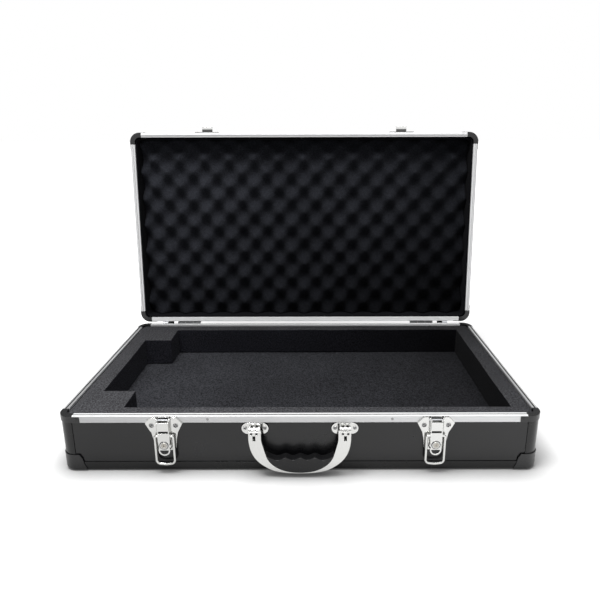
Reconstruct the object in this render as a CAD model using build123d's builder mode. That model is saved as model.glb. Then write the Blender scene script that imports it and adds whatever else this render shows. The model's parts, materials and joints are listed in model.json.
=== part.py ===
from build123d import *
import math
import os

os.makedirs("parts", exist_ok=True)

# ------------------------------------------------------------------ the case as a whole
# X runs left to right, Y away from the handle side, Z up. The origin is in the middle of
# the tray's underside. The lid is drawn closed, then leaned back about the hinge axis.
WIDTH = 680.0
DEPTH = 379.0
TRAY_HEIGHT = 87.0
LID_HEIGHT = 45.0
SEAM = 0.4
CORNER_RADIUS = 18.0
OPEN_ANGLE = 95.0
HINGE_OUT = 2.6

HALF_W = WIDTH / 2
HALF_D = DEPTH / 2
LID_RIM = TRAY_HEIGHT + SEAM
TOP = LID_RIM + LID_HEIGHT
HINGE_Y = HALF_D + HINGE_OUT
HINGE_AXIS = Axis((0, HINGE_Y, TRAY_HEIGHT), (1, 0, 0))
GAP = 0.05
OVERCUT = 3.0

# Every wall has its own plane on the outer face of the rails: local x runs along the
# wall, local y is the height above the floor and the normal points out of the case.
FRONT = Plane(origin=(0, -HALF_D, 0), x_dir=(1, 0, 0), z_dir=(0, -1, 0))
BACK = Plane(origin=(0, HALF_D, 0), x_dir=(-1, 0, 0), z_dir=(0, 1, 0))
LEFT = Plane(origin=(-HALF_W, 0, 0), x_dir=(0, -1, 0), z_dir=(-1, 0, 0))
RIGHT = Plane(origin=(HALF_W, 0, 0), x_dir=(0, 1, 0), z_dir=(1, 0, 0))
WALLS = {"front": FRONT, "back": BACK, "left": LEFT, "right": RIGHT}

# Mirrors a tray piece into the matching piece of the closed lid.
SEAM_PLANE = Plane.XY.offset(TRAY_HEIGHT + SEAM / 2)
SHELL_PLANE = Plane.XY.offset(TOP / 2)

# ------------------------------------------------------------------ panels and trims
PANEL_OUTER = 1.25
PANEL_INNER = 5.15
PANEL_FOOT = 5.3
PANEL_HEAD = 4.6
RAIL_HEIGHT = 10.2
RAIL_WIDTH = 8.5
RAIL_SKIN = 1.2
RAIL_FACE = 1.6
RAIL_LIP = 1.0
RAIL_LIP_DEPTH = 4.0
RAIL_CHAMFER_LONG = 1.4
RAIL_CHAMFER_SHORT = 0.4
CHANNEL_WALL = 6.5
CHANNEL_INNER = 5.3
CHANNEL_HEAD = 4.4
RAIL_HALF_X = 318.4
RAIL_HALF_Y = 167.4
TRIM_HEIGHT = 14.0
TRIM_REACH = 14.0
TRIM_CORE = 5.2
TRIM_ROUND = 5.0
POST_OUTER = 0.2
POST_LAP = 2.0
CAP_THICK = 1.0
CAP_FLOOR = 0.4
RIM_CORNER_PROUD = 0.7
TAB_END = 308.0
TAB_END_Y = 157.0
RIVET_HEIGHT = 82.0
TAB_RIVET_X = 313.0
TAB_RIVET_Y = 162.0
RAIL_RIVET_X = 129.0
GROOVE_NEAR = 3.0
GROOVE_FAR = 5.0
GROOVE_DEPTH = 2.6
TONGUE_NEAR = 3.3
TONGUE_FAR = 4.7
TONGUE_LENGTH = 2.2

# ------------------------------------------------------------------ foam
FOAM_INSET = 9.0
FOAM_CORNER = 9.0
PAD_LOW = 5.4
POCKET_FLOOR = 35.5
FOAM_TOP = 84.0
POCKET_LEFT = -256.0
POCKET_RIGHT = 305.0
POCKET_FRONT = -158.0
POCKET_BACK = 157.0
NOTCH_LEFT = -305.0
NOTCH_FRONT = -106.0
NOTCH_BACK = 102.0
LINING_THICK = 2.5
LINING_START = 3.0
EGG_PEAK = 18.0
EGG_CLEAR = 0.5

# ------------------------------------------------------------------ hinges and stops
HINGE_X = 240.5
HINGE_WIDTH = 47.0
KNUCKLE_R = 2.5
KNUCKLE_HALF = 7.8
KNUCKLE_CLEAR = 0.2
PIN_R = 1.5
PIN_BORE_R = 1.55
LEAF_THICK = 1.2
LEAF_LENGTH = 20.0
LEAF_NOTCH = 3.0
LEAF_RIVET_X = 16.0
LEAF_RIVET_DROP = 15.0
STOP_X = 289.6
STOP_WIDTH = 10.0
STOP_THICK = 1.3
STOP_DROP = 16.0
STOP_LIP = 8.0
STOP_RIVET_DROP = 12.8

# ------------------------------------------------------------------ rivets
RIVET_HEAD_R = 2.8
RIVET_RING_R = 2.2
RIVET_CUP_R = 1.2
RIVET_CUP_FLOOR = 0.2
RIVET_HEAD_T = 1.0
RIVET_SHANK_R = 1.6
RIVET_HOLE_R = 1.65
SMALL_HEAD_R = 1.9
SMALL_HEAD_T = 0.5
SMALL_SHANK_R = 1.15
SMALL_HOLE_R = 1.2

# ------------------------------------------------------------------ feet
FOOT_X = 285.0
FOOT_Z = 28.0
LID_FOOT_Z = 108.0
FOOT_R = 8.0
FOOT_LENGTH = 11.2
FOOT_TAPER = 8.0
FOOT_SINK = 3.0
FOOT_SINK_R = 4.2
SCREW_HEAD_R = 3.8
SCREW_HEAD_T = 2.2
CROSS_LENGTH = 5.0
CROSS_WIDTH = 1.0
CROSS_DEPTH = 1.0

# ------------------------------------------------------------------ latches
LATCH_X = 190.0
PLATE_THICK = 1.5
PLATE_RIVET_X = 16.9
PLATE_RIVET_Z = 74.4
LEVER_PIVOT_Z = 83.5
LEVER_PIVOT_OUT = 5.2
LEVER_PIN_R = 1.25
LEVER_HALF = 8.25
LEVER_NECK = 7.0
LEVER_TIP = 6.5
LEVER_WAIST_Z = 52.0
LEVER_NECK_Z = 44.0
LEVER_SIDE_INNER = 6.8
LEVER_SIDE_OUTER = 7.9
LEVER_TOP = 85.2
LEVER_FACE_TOP = 81.2
LEVER_BACK = 2.2
LEVER_FACE_IN = 7.8
LEVER_FACE = 9.0
LEVER_COVER = 9.7
LEVER_STEP_Z = 68.0
LEVER_SLOT_WIDTH = 14.0
LEVER_SLOT_HEIGHT = 3.4
FINGER_R = 8.0
FINGER_Z = 38.0
FINGER_HOLE_R = 6.1
FINGER_HOLE_TOP = 38.4
LOCK_RING_R = 5.2
LOCK_RING_FACE = 9.6
LOCK_RECESS_R = 6.5
LOCK_RECESS_FACE = 8.3
EAR_INNER = 8.4
EAR_THICK = 1.2
EAR_R = 3.0
EAR_FOOT = 1.0
SHOULDER_THICK = 2.1
SHOULDER_WELL_R = 3.5
BAIL_PIVOT_Z = 59.0
BAIL_OUT = 6.0
WIRE_R = 1.85
BAIL_HALF = 12.85
BAIL_BAR_Z = 14.5
BAIL_STUB = 6.4
BAIL_SAG = 1.5
BAIL_ROUNDS = (2.4, 6.0, 12.0, 6.0, 2.4)
KEY_Z = 46.0
KEY_R = 4.0
KEY_FACE = 10.2
KEY_BACK = 4.0
KEYWAY_SIZE = (1.4, 5.0)
KEYWAY_DEPTH = 2.0
LOCK_BACK = 3.6
BORE_HALF = 12.0
PIVOT_CLEAR = 0.06
PIN_FIT = 0.02
EDGE_ROUND = 0.6
LEVER_PIN_HALF = 10.2
STRIKE_X = 191.0
STRIKE_PLATE_LOW = 90.0
STRIKE_PLATE_HIGH = 106.0
STRIKE_PLATE_WIDTH = 46.0
STRIKE_HOOK_WIDTH = 20.0
STRIKE_BEND = 1.2
STRIKE_LEDGE_Z = 101.5
STRIKE_REACH = 13.7
STRIKE_LIP_TOP = 105.5
STRIKE_RIVET_X = 17.0
STRIKE_RIVET_Z = 102.0

# ------------------------------------------------------------------ handle
BRACKET_X = 63.0
BRACKET_Z = 68.2
BRACKET_WIDTH = 37.5
BRACKET_HEIGHT = 17.0
BRACKET_RIVET_X = 14.0
BRACKET_RIVET_Z = 69.0
PIVOT_Z = 69.5
PIVOT_OUT = 7.5
PIVOT_PIN_R = 2.0
PIVOT_EAR_R = 4.6
PIVOT_LUG_R = 3.6
MIDDLE_EAR = (-1.6, 1.6)
OUTER_EAR = (5.2, 7.6)
LUG = (1.8, 5.0)
LUG_END = 13.5
LUG_DROP = 1.0
ARM_BACK = 12.5
ARM_FACE = 17.0
ARM_TOP = 72.0
ARM_SLOT_LOW = 57.4
ARM_SLOT_HIGH = 65.2
ARM_SLOT_WIDTH = 4.0
ARM_POCKET_X = 3.7
ARM_POCKET_Z = 68.4
ARM_POCKET_SIZE = (3.2, 3.0)
ARM_POCKET_DEPTH = 3.2
GRIP_BACK = 4.6
GRIP_FACE = 18.0
GRIP_ROUND = 0.8


def plan(inset, mode=Mode.ADD):
    """Outline of the case seen from above, inset from the rails' outer faces."""
    RectangleRounded(WIDTH - 2 * inset, DEPTH - 2 * inset, CORNER_RADIUS - inset, mode=mode)


def band(outer, inner, low, high):
    """Ring that follows the outline, between two insets and two heights."""
    with BuildSketch(Plane.XY.offset(low)) as ring:
        plan(outer)
        plan(inner, Mode.SUBTRACT)
    extrude(ring.sketch, amount=high - low)


def block(low, high, mode=Mode.ADD):
    """Box between two opposite corners."""
    with Locations(((low[0] + high[0]) / 2, (low[1] + high[1]) / 2, (low[2] + high[2]) / 2)):
        Box(high[0] - low[0], high[1] - low[1], high[2] - low[2], mode=mode)


def slab(wall, centre, size, out_low, out_high, mode=Mode.ADD):
    """Flat rectangle that lies along a wall, between two distances out of it."""
    with BuildSketch(wall.offset(out_low)) as sheet:
        with Locations(centre):
            Rectangle(*size)
    extrude(sheet.sketch, amount=out_high - out_low, mode=mode)


def rod(wall, centre, radius, out_low, out_high, mode=Mode.ADD):
    """Round bar that stands out of a wall."""
    with BuildSketch(wall.offset(out_low)) as disc:
        with Locations(centre):
            Circle(radius)
    extrude(disc.sketch, amount=out_high - out_low, mode=mode)


def cross_rod(x_low, x_high, y, z, radius, mode=Mode.ADD):
    """Round bar that lies along X."""
    with BuildSketch(Plane.YZ.offset(x_low)) as disc:
        with Locations((y, z)):
            Circle(radius)
    extrude(disc.sketch, amount=x_high - x_low, mode=mode)


def ear(x_low, x_high, out, height, radius):
    """Lug that stands out of the front wall and rounds off about a pivot."""
    with BuildSketch(Plane.YZ.offset(x_low)) as side_view:
        with Locations((-HALF_D - out, height)):
            Circle(radius)
        with Locations((-HALF_D - (out + EAR_FOOT) / 2, height)):
            Rectangle(out - EAR_FOOT, 2 * radius)
    extrude(side_view.sketch, amount=x_high - x_low)


def rivet(wall, centre, seat, tail):
    """Cupped rivet: its stepped head stands on the seat and its shank runs to the tail."""
    rod(wall, centre, RIVET_HEAD_R, seat, seat + RIVET_HEAD_T / 2)
    rod(wall, centre, RIVET_RING_R, seat, seat + RIVET_HEAD_T)
    rod(wall, centre, RIVET_CUP_R, seat + RIVET_CUP_FLOOR, seat + RIVET_HEAD_T, Mode.SUBTRACT)
    rod(wall, centre, RIVET_SHANK_R, tail, seat)


def small_rivet(wall, centre, seat):
    """Small rivet that only holds the skin of a rail."""
    rod(wall, centre, SMALL_HEAD_R, seat, seat + SMALL_HEAD_T)
    rod(wall, centre, SMALL_SHANK_R, -RAIL_SKIN + GAP, seat)


def four_corners():
    """Repeats the piece in the right back corner in the other three."""
    mirror(about=Plane.YZ)
    mirror(about=Plane.XZ)


def lid_height(z):
    """Height in the closed lid that mirrors a height in the tray about the seam."""
    return 2 * TRAY_HEIGHT + SEAM - z


def save(piece, name):
    piece.label = name
    export_step(piece, "parts/" + name + ".step")


def save_lid(piece, name):
    """Leans a piece of the closed lid back about the hinge axis."""
    save(piece.rotate(HINGE_AXIS, -OPEN_ANGLE), name)


# ================================================================== holes in each wall
LATCH_HOLES = [(s * LATCH_X + t * PLATE_RIVET_X, PLATE_RIVET_Z) for s in (-1, 1) for t in (-1, 1)]
BRACKET_HOLES = [
    (s * BRACKET_X + t * BRACKET_RIVET_X, BRACKET_RIVET_Z) for s in (-1, 1) for t in (-1, 1)
]
LEAF_HOLES = [
    (s * HINGE_X + t * LEAF_RIVET_X, TRAY_HEIGHT - LEAF_RIVET_DROP)
    for s in (-1, 1)
    for t in (-1, 1)
]
STOP_HOLES = [(s * STOP_X, TRAY_HEIGHT - STOP_RIVET_DROP) for s in (-1, 1)]
FOOT_HOLES = [(s * FOOT_X, FOOT_Z) for s in (-1, 1)]
STRIKE_HOLES = [
    (s * STRIKE_X + t * STRIKE_RIVET_X, STRIKE_RIVET_Z) for s in (-1, 1) for t in (-1, 1)
]
LID_LEAF_HOLES = [(x, TRAY_HEIGHT + LEAF_RIVET_DROP) for x, z in LEAF_HOLES]
LID_FOOT_HOLES = [(s * FOOT_X, LID_FOOT_Z) for s in (-1, 1)]
TRAY_HOLES = {
    "front": LATCH_HOLES + BRACKET_HOLES,
    "back": LEAF_HOLES + STOP_HOLES + FOOT_HOLES,
    "left": [],
    "right": [],
}
LID_HOLES = {
    "front": STRIKE_HOLES,
    "back": LID_LEAF_HOLES + LID_FOOT_HOLES,
    "left": [],
    "right": [],
}
RAIL_HOLES = {
    "front": [-TAB_RIVET_X, -RAIL_RIVET_X, RAIL_RIVET_X, TAB_RIVET_X],
    "back": [-TAB_RIVET_X, TAB_RIVET_X],
    "left": [-TAB_RIVET_Y, TAB_RIVET_Y],
    "right": [-TAB_RIVET_Y, TAB_RIVET_Y],
}
WALL_HALF = {"front": HALF_W, "back": HALF_W, "left": HALF_D, "right": HALF_D}
RAIL_HALF = {
    "front": RAIL_HALF_X,
    "back": RAIL_HALF_X,
    "left": RAIL_HALF_Y,
    "right": RAIL_HALF_Y,
}

# ================================================================== wall panels
WALL_LOW = PANEL_FOOT
WALL_HIGH = TRAY_HEIGHT - PANEL_HEAD
LID_WALL_LOW = LID_RIM + PANEL_HEAD
LID_WALL_HIGH = TOP - PANEL_FOOT
PANEL_END = CORNER_RADIUS + 0.1

for side, wall in WALLS.items():
    length = 2 * (WALL_HALF[side] - PANEL_END)
    with BuildPart() as tray_panel:
        height = WALL_HIGH - WALL_LOW
        slab(wall, (0, WALL_LOW + height / 2), (length, height), -PANEL_INNER, -PANEL_OUTER)
        for hole in TRAY_HOLES[side]:
            rod(wall, hole, RIVET_HOLE_R, -PANEL_INNER, 0, Mode.SUBTRACT)
    save(tray_panel.part, "tray_" + side + "_panel")
    with BuildPart() as lid_panel:
        height = LID_WALL_HIGH - LID_WALL_LOW
        slab(wall, (0, LID_WALL_LOW + height / 2), (length, height), -PANEL_INNER, -PANEL_OUTER)
        for hole in LID_HOLES[side]:
            rod(wall, hole, RIVET_HOLE_R, -PANEL_INNER, 0, Mode.SUBTRACT)
    save_lid(lid_panel.part, "lid_" + side + "_panel")

with BuildPart() as bottom_panel:
    with BuildSketch(Plane.XY.offset(PANEL_OUTER)) as sheet:
        plan(PANEL_FOOT)
    extrude(sheet.sketch, amount=PANEL_INNER - PANEL_OUTER)
save(bottom_panel.part, "tray_bottom_panel")

with BuildPart() as top_panel:
    mirror(bottom_panel.part, about=SHELL_PLANE)
save_lid(top_panel.part, "lid_top_panel")


# ================================================================== aluminium rim rails
def rail_body(wall, half, rim, away, slot):
    """Extruded rail: 'away' is -1 when the rail hangs below its rim face and +1 when it
    stands above it. 'slot' is the outline of the groove or tongue along the rim face."""
    start = wall.origin - wall.x_dir * half
    section = Plane(
        origin=(start.X, start.Y, rim), x_dir=-wall.z_dir, z_dir=-wall.z_dir.cross(Vector(0, 0, 1))
    )
    outline = slot + [
        (RAIL_WIDTH, 0),
        (RAIL_WIDTH, away * RAIL_LIP_DEPTH),
        (RAIL_WIDTH - RAIL_LIP, away * RAIL_LIP_DEPTH),
        (RAIL_WIDTH - RAIL_LIP, away * RAIL_FACE),
        (CHANNEL_WALL, away * RAIL_FACE),
        (CHANNEL_WALL, away * RAIL_HEIGHT),
        (CHANNEL_INNER, away * RAIL_HEIGHT),
        (CHANNEL_INNER, away * CHANNEL_HEAD),
        (RAIL_SKIN, away * CHANNEL_HEAD),
        (RAIL_SKIN, away * RAIL_HEIGHT),
        (0, away * RAIL_HEIGHT),
        (0, away * RAIL_CHAMFER_LONG),
        (RAIL_CHAMFER_SHORT, away * RAIL_CHAMFER_SHORT),
        (RAIL_CHAMFER_LONG, 0),
    ]
    with BuildSketch(section) as profile:
        Polygon(*outline, align=None)
    direction = 1 if section.z_dir.dot(wall.x_dir) > 0 else -1
    extrude(profile.sketch, amount=direction * 2 * half)


GROOVE = [
    (GROOVE_NEAR, 0),
    (GROOVE_NEAR, -GROOVE_DEPTH),
    (GROOVE_FAR, -GROOVE_DEPTH),
    (GROOVE_FAR, 0),
]
TONGUE = [
    (TONGUE_NEAR, 0),
    (TONGUE_NEAR, -TONGUE_LENGTH),
    (TONGUE_FAR, -TONGUE_LENGTH),
    (TONGUE_FAR, 0),
]
for side, wall in WALLS.items():
    with BuildPart() as tray_rail:
        rail_body(wall, RAIL_HALF[side], TRAY_HEIGHT, -1, GROOVE)
        for along in RAIL_HOLES[side]:
            rod(wall, (along, RIVET_HEIGHT), SMALL_HOLE_R, -RAIL_SKIN, 0, Mode.SUBTRACT)
    save(tray_rail.part, "tray_" + side + "_rail")
    with BuildPart() as lid_rail:
        rail_body(wall, RAIL_HALF[side], LID_RIM, 1, [] if side == "back" else TONGUE)
        for along in RAIL_HOLES[side]:
            centre = (along, lid_height(RIVET_HEIGHT))
            rod(wall, centre, SMALL_HOLE_R, -RAIL_SKIN, 0, Mode.SUBTRACT)
    save_lid(lid_rail.part, "lid_" + side + "_rail")

# ================================================================== edge trims
with BuildPart() as bottom_trim:
    band(0, TRIM_REACH, 0, RAIL_SKIN)
    band(0, TRIM_CORE, RAIL_SKIN, TRIM_CORE)
    band(0, RAIL_SKIN, TRIM_CORE, TRIM_HEIGHT)
    fillet(bottom_trim.faces().sort_by(Axis.Z)[0].outer_wire().edges(), TRIM_ROUND)
save(bottom_trim.part, "tray_bottom_trim")

with BuildPart() as top_trim:
    mirror(bottom_trim.part, about=SHELL_PLANE)
save_lid(top_trim.part, "lid_top_trim")


# ================================================================== corner posts
def corner_posts(low, high):
    """Quarter-round posts, each with a thin flange lapping the two panels beside it."""
    lap_middle = CORNER_RADIUS + POST_LAP / 2
    lap_inset = (POST_OUTER + PANEL_OUTER) / 2 - GAP / 2
    lap_thick = PANEL_OUTER - POST_OUTER - GAP
    with BuildSketch(Plane.XY.offset(low)) as section:
        plan(POST_OUTER)
        plan(TRIM_CORE, Mode.SUBTRACT)
        with Locations((HALF_W, HALF_D)):
            Rectangle(2 * CORNER_RADIUS, 2 * CORNER_RADIUS, mode=Mode.INTERSECT)
        with Locations((HALF_W - lap_middle, HALF_D - lap_inset)):
            Rectangle(POST_LAP + GAP, lap_thick)
        with Locations((HALF_W - lap_inset, HALF_D - lap_middle)):
            Rectangle(lap_thick, POST_LAP + GAP)
    extrude(section.sketch, amount=high - low)
    four_corners()


POST_LOW = TRIM_HEIGHT + 0.1
POST_HIGH = TRAY_HEIGHT - RAIL_HEIGHT - 0.1
with BuildPart() as tray_posts:
    corner_posts(POST_LOW, POST_HIGH)
save(tray_posts.part, "tray_corner_posts")

with BuildPart() as lid_posts:
    corner_posts(lid_height(POST_HIGH), TOP - POST_LOW)
save_lid(lid_posts.part, "lid_corner_posts")

# ================================================================== corner caps
CAP_HIGH = 26.0
CAP_LONG = 36.0
CAP_WAIST = 31.0
CAP_WAIST_Z = 12.0
CAP_SHOULDER = 29.5
CAP_SHOULDER_Z = 20.0
CAP_SHORT = 25.5
CAP_ROUND = 2.0
with BuildPart() as cap_core:
    with BuildSketch() as core_plan:
        plan(-GAP)
    extrude(core_plan.sketch, amount=2 * CAP_HIGH)
    fillet(cap_core.faces().sort_by(Axis.Z)[0].outer_wire().edges(), TRIM_ROUND)


def cap_profile(wall, half):
    """Keeps the part of a cap inside its stepped side outline."""
    with BuildSketch(wall) as outline:
        with BuildLine() as edge:
            FilletPolyline(
                (half - CAP_LONG, CAP_FLOOR),
                (half - CAP_WAIST, CAP_WAIST_Z),
                (half - CAP_SHOULDER, CAP_SHOULDER_Z),
                (half - CAP_SHORT, CAP_HIGH),
                (half + CAP_LONG, CAP_HIGH),
                (half + CAP_LONG, CAP_FLOOR),
                radius=CAP_ROUND,
                close=True,
            )
        make_face(edge.edges())
    extrude(outline.sketch, amount=WIDTH, both=True, mode=Mode.INTERSECT)


with BuildPart() as tray_caps:
    with BuildSketch() as cap_plan:
        plan(-CAP_THICK)
    extrude(cap_plan.sketch, amount=CAP_HIGH)
    fillet(tray_caps.faces().sort_by(Axis.Z)[0].outer_wire().edges(), TRIM_ROUND)
    add(cap_core.part, mode=Mode.SUBTRACT)
    cap_profile(FRONT, HALF_W)
    cap_profile(RIGHT, HALF_D)
    four_corners()
save(tray_caps.part, "tray_corner_caps")

with BuildPart() as lid_caps:
    mirror(tray_caps.part, about=SHELL_PLANE)
save_lid(lid_caps.part, "lid_corner_caps")

# ================================================================== rim corner pieces
CORNER_PLATE = 3.0
PROUD_TRIM = 0.6
CORNER_X = 318.5
CORNER_Y = 167.5
CORNER_REACH = 5.0
TAB_LOW = TRAY_HEIGHT - RAIL_HEIGHT
TAB_HIGH = TRAY_HEIGHT - RAIL_FACE
TAB_ROUND = 0.8
with BuildPart() as tray_rim_corners:
    band(0, RAIL_WIDTH, TRAY_HEIGHT - CORNER_PLATE, TRAY_HEIGHT)
    band(0, RAIL_SKIN - 2 * GAP, TAB_LOW, TRAY_HEIGHT - CORNER_PLATE)
    band(-RIM_CORNER_PROUD, 0, TAB_LOW + PROUD_TRIM, TRAY_HEIGHT - PROUD_TRIM)
    corner_end = (HALF_W + CORNER_REACH, HALF_D + CORNER_REACH, TOP)
    block((CORNER_X, CORNER_Y, 0), corner_end, Mode.INTERSECT)
    tab_middle = (TAB_LOW + TAB_HIGH) / 2
    tab_size = (CORNER_X - TAB_END + 2 * GAP, TAB_HIGH - TAB_LOW)
    back_tab = (-(TAB_END + CORNER_X) / 2 - GAP, tab_middle)
    side_tab = ((TAB_END_Y + CORNER_Y) / 2 + GAP, tab_middle)
    slab(BACK, back_tab, tab_size, GAP, RIM_CORNER_PROUD)
    slab(RIGHT, side_tab, tab_size, GAP, RIM_CORNER_PROUD)
    ends = tray_rim_corners.faces().filter_by(Axis.X).sort_by(Axis.X)[0].edges().filter_by(Axis.Y)
    ends += tray_rim_corners.faces().filter_by(Axis.Y).sort_by(Axis.Y)[0].edges().filter_by(Axis.X)
    fillet(ends, TAB_ROUND)
    rod(BACK, (-TAB_RIVET_X, RIVET_HEIGHT), SMALL_HOLE_R, 0, OVERCUT, Mode.SUBTRACT)
    rod(RIGHT, (TAB_RIVET_Y, RIVET_HEIGHT), SMALL_HOLE_R, 0, OVERCUT, Mode.SUBTRACT)
    four_corners()
save(tray_rim_corners.part, "tray_rim_corners")

with BuildPart() as lid_rim_corners:
    mirror(tray_rim_corners.part, about=SEAM_PLANE)
save_lid(lid_rim_corners.part, "lid_rim_corners")

# ================================================================== rail rivets
with BuildPart() as rail_rivets:
    for side, wall in WALLS.items():
        for along in RAIL_HOLES[side]:
            seat = 0 if abs(along) == RAIL_RIVET_X else RIM_CORNER_PROUD
            small_rivet(wall, (along, RIVET_HEIGHT), seat)
save(rail_rivets.part, "tray_rail_rivets")

with BuildPart() as lid_rail_rivets:
    mirror(rail_rivets.part, about=SEAM_PLANE)
save_lid(lid_rail_rivets.part, "lid_rail_rivets")


# ================================================================== foam
def foam_plan(inset):
    """Outline of the foam, which stays clear of the rails' inner lips."""
    RectangleRounded(WIDTH - 2 * inset, DEPTH - 2 * inset, FOAM_CORNER)


with BuildPart() as base_pad:
    with BuildSketch(Plane.XY.offset(PAD_LOW)) as pad_plan:
        foam_plan(FOAM_INSET)
    extrude(pad_plan.sketch, amount=POCKET_FLOOR - PAD_LOW)
save(base_pad.part, "foam_base_pad")

with BuildPart() as insert_frame:
    with BuildSketch(Plane.XY.offset(POCKET_FLOOR)) as frame_plan:
        foam_plan(FOAM_INSET)
    extrude(frame_plan.sketch, amount=FOAM_TOP - POCKET_FLOOR)
    block(
        (POCKET_LEFT, POCKET_FRONT, POCKET_FLOOR),
        (POCKET_RIGHT, POCKET_BACK, FOAM_TOP),
        Mode.SUBTRACT,
    )
    block(
        (NOTCH_LEFT, NOTCH_FRONT, POCKET_FLOOR),
        (POCKET_LEFT, NOTCH_BACK, FOAM_TOP),
        Mode.SUBTRACT,
    )
save(insert_frame.part, "foam_insert_frame")

LINING_TOP = TOP - PAD_LOW
with BuildPart() as lid_lining:
    with BuildSketch(Plane.XY.offset(LID_RIM + LINING_START)) as lining_plan:
        foam_plan(FOAM_INSET)
        offset(amount=-LINING_THICK, mode=Mode.SUBTRACT)
    extrude(lining_plan.sketch, amount=LINING_TOP - LID_RIM - LINING_START)
save_lid(lid_lining.part, "lid_side_lining")

with BuildPart() as egg_foam:
    with BuildSketch(Plane.XY.offset(LID_RIM + EGG_PEAK)) as egg_plan:
        foam_plan(FOAM_INSET)
        offset(amount=-LINING_THICK - EGG_CLEAR, mode=Mode.REPLACE)
    extrude(egg_plan.sketch, amount=LINING_TOP - LID_RIM - EGG_PEAK)
save_lid(egg_foam.part, "lid_egg_crate_foam")


# ================================================================== hinges
def leaf_plate(x_low, x_high, z_low, z_high):
    """Plate of a hinge leaf, lying just behind the back wall."""
    back = HINGE_Y - KNUCKLE_R
    block((x_low, back, z_low), (x_high, back + LEAF_THICK, z_high))


def knuckle(x_low, x_high):
    cross_rod(x_low, x_high, HINGE_Y, TRAY_HEIGHT, KNUCKLE_R)


TRAY_LEAF_LOW = TRAY_HEIGHT - LEAF_LENGTH
LID_LEAF_HIGH = TRAY_HEIGHT + LEAF_LENGTH
HALF_HINGE = HINGE_WIDTH / 2
MID_OUTER = KNUCKLE_HALF + KNUCKLE_CLEAR
with BuildPart() as tray_leaves:
    for centre in (-HINGE_X, HINGE_X):
        left = centre - HALF_HINGE
        right = centre + HALF_HINGE
        leaf_plate(left, right, TRAY_LEAF_LOW, TRAY_HEIGHT - LEAF_NOTCH)
        for end_low, end_high in ((left, centre - MID_OUTER), (centre + MID_OUTER, right)):
            leaf_plate(end_low, end_high, TRAY_HEIGHT - LEAF_NOTCH, TRAY_HEIGHT)
            knuckle(end_low, end_high)
        cross_rod(left, right, HINGE_Y, TRAY_HEIGHT, PIN_BORE_R, Mode.SUBTRACT)
    for hole in LEAF_HOLES:
        rod(BACK, hole, RIVET_HOLE_R, 0, OVERCUT, Mode.SUBTRACT)
save(tray_leaves.part, "hinge_tray_leaves")

with BuildPart() as lid_leaves:
    for centre in (-HINGE_X, HINGE_X):
        left = centre - HALF_HINGE
        right = centre + HALF_HINGE
        leaf_plate(left, right, TRAY_HEIGHT + LEAF_NOTCH, LID_LEAF_HIGH)
        middle_low = centre - KNUCKLE_HALF
        middle_high = centre + KNUCKLE_HALF
        leaf_plate(middle_low, middle_high, TRAY_HEIGHT, TRAY_HEIGHT + LEAF_NOTCH)
        knuckle(middle_low, middle_high)
        cross_rod(left, right, HINGE_Y, TRAY_HEIGHT, PIN_BORE_R, Mode.SUBTRACT)
    for hole in LID_LEAF_HOLES:
        rod(BACK, hole, RIVET_HOLE_R, 0, OVERCUT, Mode.SUBTRACT)
save_lid(lid_leaves.part, "hinge_lid_leaves")

with BuildPart() as hinge_pins:
    for centre in (-HINGE_X, HINGE_X):
        cross_rod(centre - HALF_HINGE, centre + HALF_HINGE, HINGE_Y, TRAY_HEIGHT, PIN_R)
save(hinge_pins.part, "hinge_pins")

LEAF_SEAT = HINGE_OUT - KNUCKLE_R + LEAF_THICK
with BuildPart() as tray_leaf_rivets:
    for hole in LEAF_HOLES:
        rivet(BACK, hole, LEAF_SEAT, -PANEL_INNER)
save(tray_leaf_rivets.part, "hinge_tray_rivets")

with BuildPart() as lid_leaf_rivets:
    for hole in LID_LEAF_HOLES:
        rivet(BACK, hole, LEAF_SEAT, -PANEL_INNER)
save_lid(lid_leaf_rivets.part, "hinge_lid_rivets")

# ================================================================== lid stops
# Each stop wraps round the hinge axis, then runs parallel to the open lid's back wall.
LEAN = math.radians(OPEN_ANGLE - 90)
STOP_OUTER_R = KNUCKLE_R
STOP_INNER_R = KNUCKLE_R - STOP_THICK
LIP_UP = Vector(math.sin(LEAN), math.cos(LEAN))
LIP_ALONG = Vector(math.cos(LEAN), -math.sin(LEAN))
with BuildPart() as lid_stops:
    for centre in (-STOP_X, STOP_X):
        stop_plane = Plane(
            origin=(centre - STOP_WIDTH / 2, HINGE_Y, TRAY_HEIGHT), x_dir=(0, 1, 0), z_dir=(1, 0, 0)
        )
        with BuildSketch(stop_plane) as stop_section:
            with BuildLine() as stop_line:
                Line((-STOP_OUTER_R, -STOP_DROP), (-STOP_OUTER_R, 0))
                CenterArc((0, 0), STOP_OUTER_R, 180, -90 - math.degrees(LEAN))
                outer_start = LIP_UP * STOP_OUTER_R
                outer_end = outer_start + LIP_ALONG * STOP_LIP
                inner_start = LIP_UP * STOP_INNER_R
                inner_end = inner_start + LIP_ALONG * STOP_LIP
                Polyline(outer_start, outer_end, inner_end, inner_start)
                CenterArc((0, 0), STOP_INNER_R, 90 - math.degrees(LEAN), 90 + math.degrees(LEAN))
                Polyline(
                    (-STOP_INNER_R, 0), (-STOP_INNER_R, -STOP_DROP), (-STOP_OUTER_R, -STOP_DROP)
                )
            make_face()
        extrude(amount=STOP_WIDTH)
    for hole in STOP_HOLES:
        rod(BACK, hole, RIVET_HOLE_R, 0, OVERCUT, Mode.SUBTRACT)
save(lid_stops.part, "lid_stops")

with BuildPart() as stop_rivets:
    for hole in STOP_HOLES:
        rivet(BACK, hole, HINGE_OUT - STOP_INNER_R, -PANEL_INNER)
save(stop_rivets.part, "lid_stop_rivets")


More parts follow.
